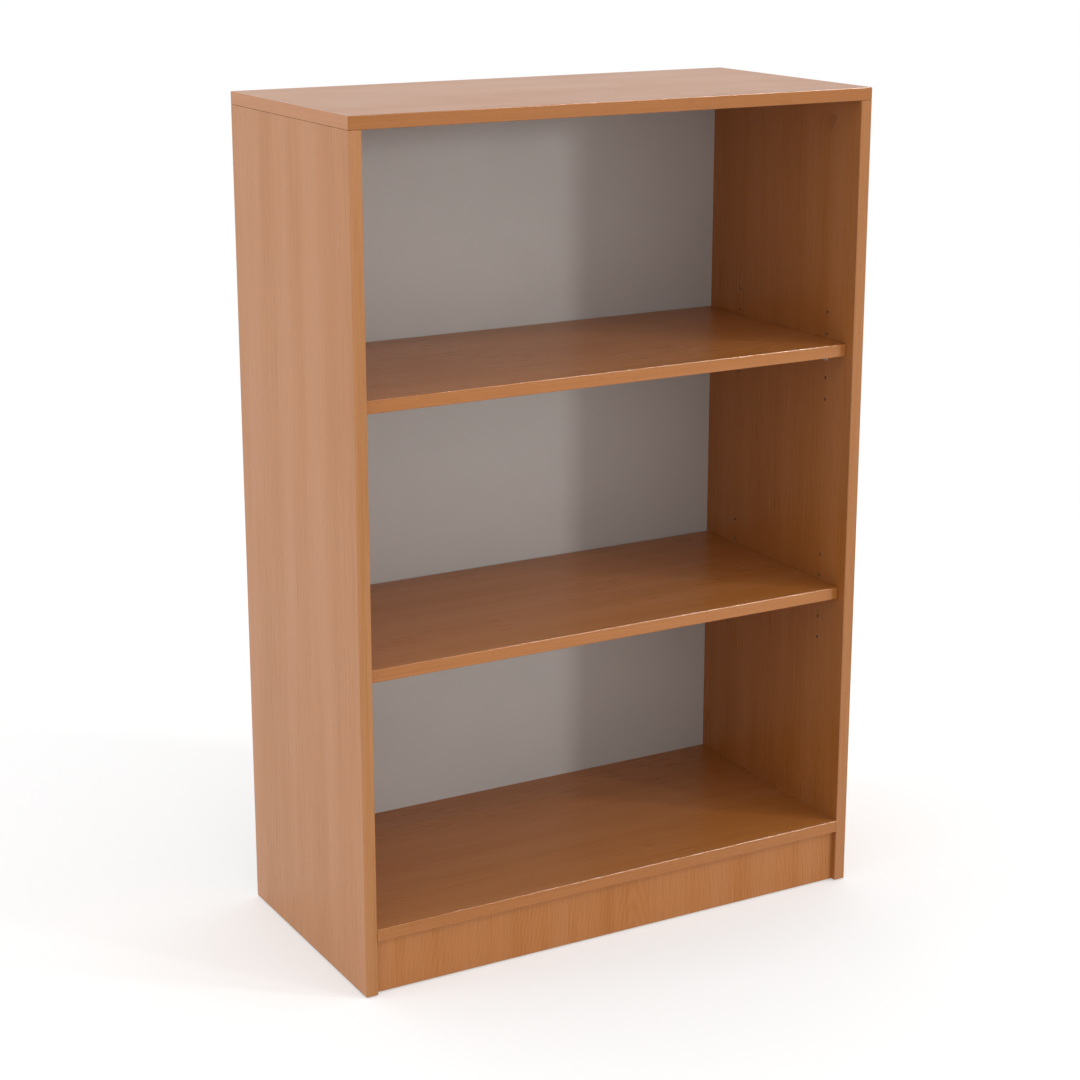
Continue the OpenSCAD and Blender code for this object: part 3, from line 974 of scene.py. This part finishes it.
@dataclass
class ShelfSupports:
    """The four plug-in supports of one shelf: pin, flange, tongue and web, with softened edges."""

    node: str
    material: bpy.types.Material
    width: float = 12 * MM
    pin: float = 5 * MM
    pin_length: float = 8 * MM
    pin_drop: float = 8 * MM
    pin_chamfer: float = 0.5 * MM
    pin_steps: int = 24
    tongue: float = 2.5 * MM
    reach: float = 16 * MM
    tip_radius: float = 3 * MM
    tip_steps: int = 5
    flange: float = 2 * MM
    drop: float = 14 * MM
    foot_radius: float = 1.2 * MM
    foot_steps: int = 4
    corner: float = 0.7 * MM
    web: float = 2 * MM
    web_reach: float = 11 * MM
    web_lift: float = 1 * MM
    web_corner: float = 0.455 * MM
    web_bend: float = 0.525 * MM
    web_steps: int = 3
    edge: float = 0.35 * MM

    def tongue_outline(self) -> Outline:
        """Return the tongue's outline from above, with a well rounded tip."""
        half, near, tip = self.width / 2, self.corner, self.tip_radius
        corners = [(0, -half), (self.reach, -half), (self.reach, half), (0, half)]
        return Outline.filleted(corners, [near, tip, tip, near], self.tip_steps)

    def flange_outline(self) -> Outline:
        """Return the flange's outline as seen from the compartment, with a rounded foot."""
        half, top, foot = self.width / 2, self.corner, self.foot_radius
        corners = [(-half, -self.drop), (half, -self.drop), (half, 0), (-half, 0)]
        return Outline.filleted(corners, [foot, foot, top, top], self.foot_steps)

    def web_outline(self) -> Outline:
        """Return the web's outline from the front: a wedge between the flange and the tongue."""
        foot = self.web_lift - self.drop
        corners = [(self.flange / 2, -self.tongue / 2), (self.flange / 2, foot), (self.flange, foot),
                   (self.web_reach, -self.tongue), (self.web_reach, -self.tongue / 2)]
        radii = [self.web_corner, self.web_corner, self.web_bend, self.web_bend, self.web_corner]
        return Outline.filleted(corners, radii, self.web_steps)

    def one(self, face_x: float, y: float, top: float) -> list[Shell]:
        """Make one support.

        Args:
            face_x: where the side panel's inner face is.
            y: the middle of the support from front to back.
            top: the height of the shelf's underside.

        Returns:
            Its closed shells: tongue, flange, pin and web.
        """
        inner = -math.copysign(1.0, face_x)
        inwards, aside, up = (inner, 0.0, 0.0), (0.0, inner, 0.0), (0.0, 0.0, 1.0)
        pin_foot = (face_x - inner * self.pin_length, y, top - self.pin_drop)
        pin_profile = np.array([[self.pin_chamfer, 0.0], [0.0, self.pin_chamfer],
                                [0.0, self.pin_length + self.flange / 2]])
        return [
            self.tongue_outline().carried((face_x, y, top - self.tongue), inwards, aside,
                                          eased(self.tongue, self.edge)),
            self.flange_outline().carried((face_x, y, top), aside, up, eased(self.flange, self.edge)),
            Outline.ring(self.pin / 2, self.pin_steps).carried(pin_foot, aside, up, pin_profile),
            self.web_outline().carried((face_x, y + inner * self.web / 2, top), inwards, up,
                                       eased(self.web, self.edge)),
        ]

    def build(self) -> None:
        """Make the node's four supports as one piece."""
        low, high = corners_of(self.node)
        shells = [shell for x in (low[0] + self.pin_length, high[0] - self.pin_length)
                  for y in (low[1] + self.width / 2, high[1] - self.width / 2)
                  for shell in self.one(x, y, high[2])]
        make_piece(f"{self.node}_cast", shells, self.material, "carcass",
                   self.node)


@dataclass
class CoverCaps:
    """The four moulded caps over the upper cams: a low dome with a rounded rim, and a stem."""

    material: bpy.types.Material
    node: str = "top_cam_caps"
    diameter: float = 18 * MM
    thickness: float = 1.4 * MM
    rim: float = 0.84 * MM
    dome: float = 0.14 * MM
    rows: int = 6
    crowding: float = 0.8
    cap_steps: int = 48
    stem_radius: float = 2.35 * MM
    stem_chamfer: float = 0.2 * MM
    stem_steps: int = 24

    def profile(self) -> np.ndarray:
        """Make the cap's profile.

        The rim is a quarter circle. Above it the face rises to the dome's height, and what it
        still lacks there is the dome's height times the square of the share of the way that is
        left to the middle, so the middle is flattest.

        Returns:
            Rows of inset from the rim and height above the board.
        """
        a = np.linspace(0, math.pi / 2, self.rows + 1)
        shoulder = self.thickness - self.dome
        rim = np.stack([self.rim * (1 - np.cos(a)), shoulder - self.rim * (1 - np.sin(a))], 1)
        way = np.linspace(0, 1, self.rows + 1)[1:-1] ** self.crowding
        face = np.stack([self.rim + way * (self.diameter / 2 - self.rim),
                         shoulder + self.dome * (1 - (1 - way) ** 2)], 1)
        return np.concatenate([[[0.0, 0.0]], rim, face])

    def one(self, face_x: float, tip_x: float, y: float, z: float) -> list[Shell]:
        """Make one cap.

        Args:
            face_x: where the side panel's inner face is.
            tip_x: where the stem ends in the board.
            y: the cap's middle from front to back.
            z: its height.

        Returns:
            Its closed shells: cap and stem.
        """
        u, v = (0.0, -math.copysign(1.0, face_x), 0.0), (0.0, 0.0, 1.0)
        stem = np.array([[self.stem_chamfer, 0.0], [0.0, self.stem_chamfer],
                         [0.0, abs(tip_x - face_x) + self.thickness / 2]])
        rim = Outline.ring(self.diameter / 2, self.cap_steps)
        return [
            rim.carried((face_x, y, z), u, v, self.profile()),
            Outline.ring(self.stem_radius, self.stem_steps).carried((tip_x, y, z), u, v, stem),
        ]

    def build(self) -> None:
        """Make the four caps as one piece."""
        low, high = corners_of(self.node)
        faces = corners_of("left_side")[1][0], corners_of("right_side")[0][0]
        shells = [shell for face_x, tip_x in zip(faces, (low[0], high[0]))
                  for y in (low[1] + self.diameter / 2, high[1] - self.diameter / 2)
                  for shell in self.one(face_x, tip_x, y, (low[2] + high[2]) / 2)]
        make_piece(f"{self.node}_moulded", shells, self.material, "carcass", self.node)


@dataclass
class Fittings:
    """Cams, bolts, caps, dowels, shelf supports, glides and screws."""

    zinc: PlatedMetal = PlatedMetal("cast_zinc")
    nickel: PlatedMetal = PlatedMetal("plated_nickel", (0.660, 0.625, 0.575), (0.480, 0.450, 0.410),
                                      roughness=0.26, pits=Noise.even(0.8 * MM, 3.0, 0.6),
                                      relief=Relief(0.015 * MM, 0.4))
    cap: MouldedPlastic = MouldedPlastic("cap_plastic", (0.335, 0.125, 0.036), (0.400, 0.165, 0.060))
    glide: MouldedPlastic = MouldedPlastic("glide_plastic", (0.042, 0.034, 0.029),
                                           (0.085, 0.074, 0.066), roughness=0.42)
    dowel: RawBeech = RawBeech("dowel_beech")
    zinc_nodes: tuple[str, ...] = ("top_cams", "top_cam_bolts", "bottom_cams", "bottom_cam_bolts",
                                   "plinth_cams", "plinth_cam_bolts", "back_screws")
    glide_nodes: tuple[str, ...] = ("floor_glides",)
    dowel_nodes: tuple[str, ...] = ("top_dowels", "bottom_dowels", "plinth_dowels")
    support_nodes: tuple[str, ...] = ("upper_shelf_supports", "lower_shelf_supports")

    def build(self) -> None:
        """Dress every fitting with the finish of its kind, and make the supports and caps."""
        for finish, nodes in ((self.zinc, self.zinc_nodes), (self.glide, self.glide_nodes),
                              (self.dowel, self.dowel_nodes)):
            material = finish.material()
            for node in nodes:
                coat_node(node, material)
        nickel = self.nickel.material()
        for node in self.support_nodes:
            ShelfSupports(node, nickel).build()
        CoverCaps(self.cap.material()).build()


@dataclass
class Lamp:
    """One soft box that faces a point of the object.

    A lamp that isn't matt lights no matt colour and only makes highlights, and one that isn't
    mirrored makes no highlights. Azimuth and elevation are degrees from the front and the floor.
    """

    name: str
    azimuth: float
    elevation: float
    distance: float
    width: float
    height: float
    level: float
    matt: bool = True
    mirrored: bool = True
    aim: Point = (0.0, 0.0, 0.5)

    def build(self) -> None:
        """Hang the lamp.

        Its power is level times pi squared times the distance squared, at which a white face
        turned to it renders at that level.
        """
        az, el = math.radians(self.azimuth), math.radians(self.elevation)
        away = np.array([math.sin(az) * math.cos(el), -math.cos(az) * math.cos(el), math.sin(el)])
        data = bpy.data.lights.new(self.name, "AREA")
        data.shape = "RECTANGLE"
        data.size, data.size_y = self.width, self.height
        data.energy = self.level * (math.pi * self.distance) ** 2
        lamp = bpy.data.objects.new(self.name, data)
        lamp.location = np.array(self.aim) + away * self.distance
        lamp.rotation_euler = Euler((math.pi / 2 - el, 0.0, az), "XYZ")
        lamp.visible_diffuse = self.matt
        lamp.visible_glossy = self.mirrored
        bpy.context.scene.collection.objects.link(lamp)
        LOG.info("lamp %s at %s", self.name, np.round(lamp.location, 2))


@dataclass
class Studio:
    """Pale floor, white surroundings and soft lamps."""

    world_level: float = 0.94
    floor_half: float = 30.0
    floor_colour: Colour = (0.72, 0.72, 0.72)
    floor_lift: float = 0.30
    floor_fade: Ramp = Ramp(1.2, 2.6)
    lamps: tuple[Lamp, ...] = (
        Lamp("key_lamp", azimuth=35.0, elevation=11.0, distance=12.0, width=1.0, height=1.0,
             level=0.20, mirrored=False),
        Lamp("left_lamp", azimuth=-100.0, elevation=12.0, distance=8.0, width=3.0, height=3.0,
             level=0.26),
        Lamp("edge_lamp", azimuth=48.0, elevation=38.0, distance=8.0, width=0.6, height=0.6,
             level=0.13),
        Lamp("glint_lamp", azimuth=55.0, elevation=50.0, distance=8.0, width=3.0, height=0.6,
             level=0.75, matt=False),
    )

    def make_world(self) -> None:
        """Make the surroundings white to look at and dimmer as a source of light."""
        world = bpy.data.worlds.new("white_surroundings")
        graph = Graph(world)
        strength = graph.blended(graph.seen(), self.world_level, 1.0)
        sky = graph.add("ShaderNodeBackground", {"Color": rgba(WHITE), "Strength": strength})
        graph.node("ShaderNodeOutputWorld", {"Surface": sky})
        bpy.context.scene.world = world
        LOG.info("world made")

    def floor_material(self) -> bpy.types.Material:
        """Make the floor's material: pale, lifted where it is seen, and pure white far away.

        Returns:
            The material.
        """
        graph = Graph(bpy.data.materials.new("studio_floor"))
        away = graph.add("ShaderNodeVectorMath", {0: graph.place}, "Value", operation="LENGTH")
        seen = graph.seen()
        pale = graph.add("ShaderNodeBsdfDiffuse", {"Color": rgba(self.floor_colour)})
        lift = graph.add("ShaderNodeEmission", {
            "Color": rgba(WHITE), "Strength": graph.math("MULTIPLY", seen, self.floor_lift)})
        near = graph.add("ShaderNodeAddShader", {0: pale, 1: lift})
        white = graph.add("ShaderNodeEmission", {"Color": rgba(WHITE), "Strength": 1.0})
        far = graph.math("MULTIPLY", graph.remap(away, self.floor_fade), seen)
        surface = graph.add("ShaderNodeMixShader", {0: far, 1: near, 2: white})
        graph.node("ShaderNodeOutputMaterial", {"Surface": surface})
        return graph.owner

    def make_floor(self) -> None:
        """Lay the floor, a square about the object."""
        half = self.floor_half
        corners = [(-half, -half, 0.0), (half, -half, 0.0), (half, half, 0.0), (-half, half, 0.0)]
        mesh = bpy.data.meshes.new("studio_floor")
        mesh.from_pydata(corners, [], [(0, 1, 2, 3)])
        floor = bpy.data.objects.new("studio_floor", mesh)
        bpy.context.scene.collection.objects.link(floor)
        coat(floor, self.floor_material())
        LOG.info("floor laid")

    def build(self) -> None:
        """Set the studio up."""
        bpy.context.scene.view_settings.view_transform = "Standard"
        self.make_world()
        self.make_floor()
        for lamp in self.lamps:
            lamp.build()


@dataclass
class PhotoCamera:
    """The camera near the photograph's place, looking down a little, with a small shift.

    Yaw and pitch are degrees from the bookcase's depth and from level, and lens and sensor are
    millimetres.
    """

    at: Point = (-1.6135, -2.8272, 1.4849)
    yaw: float = 29.36
    pitch: float = -15.057
    lens: float = 78.04
    sensor: float = 36.0
    shift_y: float = -0.04
    sight: float = 200.0

    def build(self) -> None:
        """Set the camera up as the scene's camera."""
        data = bpy.data.cameras.new("photo_camera")
        data.sensor_width = self.sensor
        data.lens = self.lens
        data.shift_y = self.shift_y
        data.clip_end = self.sight
        camera = bpy.data.objects.new("photo_camera", data)
        camera.location = self.at
        camera.rotation_euler = Euler((math.pi / 2 + math.radians(self.pitch), 0.0,
                                       -math.radians(self.yaw)), "XYZ")
        bpy.context.scene.collection.objects.link(camera)
        bpy.context.scene.camera = camera
        LOG.info("camera set")


def main() -> None:
    """Build the looks in order."""
    logging.basicConfig(level=logging.INFO, format="%(name)s: %(message)s")
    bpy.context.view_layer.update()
    Studio().build()
    PhotoCamera().build()
    Carcass().build()
    LooseShelf("upper_shelf", 0.05, (4.0, 15.0, 2.0)).build()
    LooseShelf("lower_shelf", -0.04, (14.0, 1.0, 7.0)).build()
    Fittings().build()


if __name__ == "__main__":
    main()
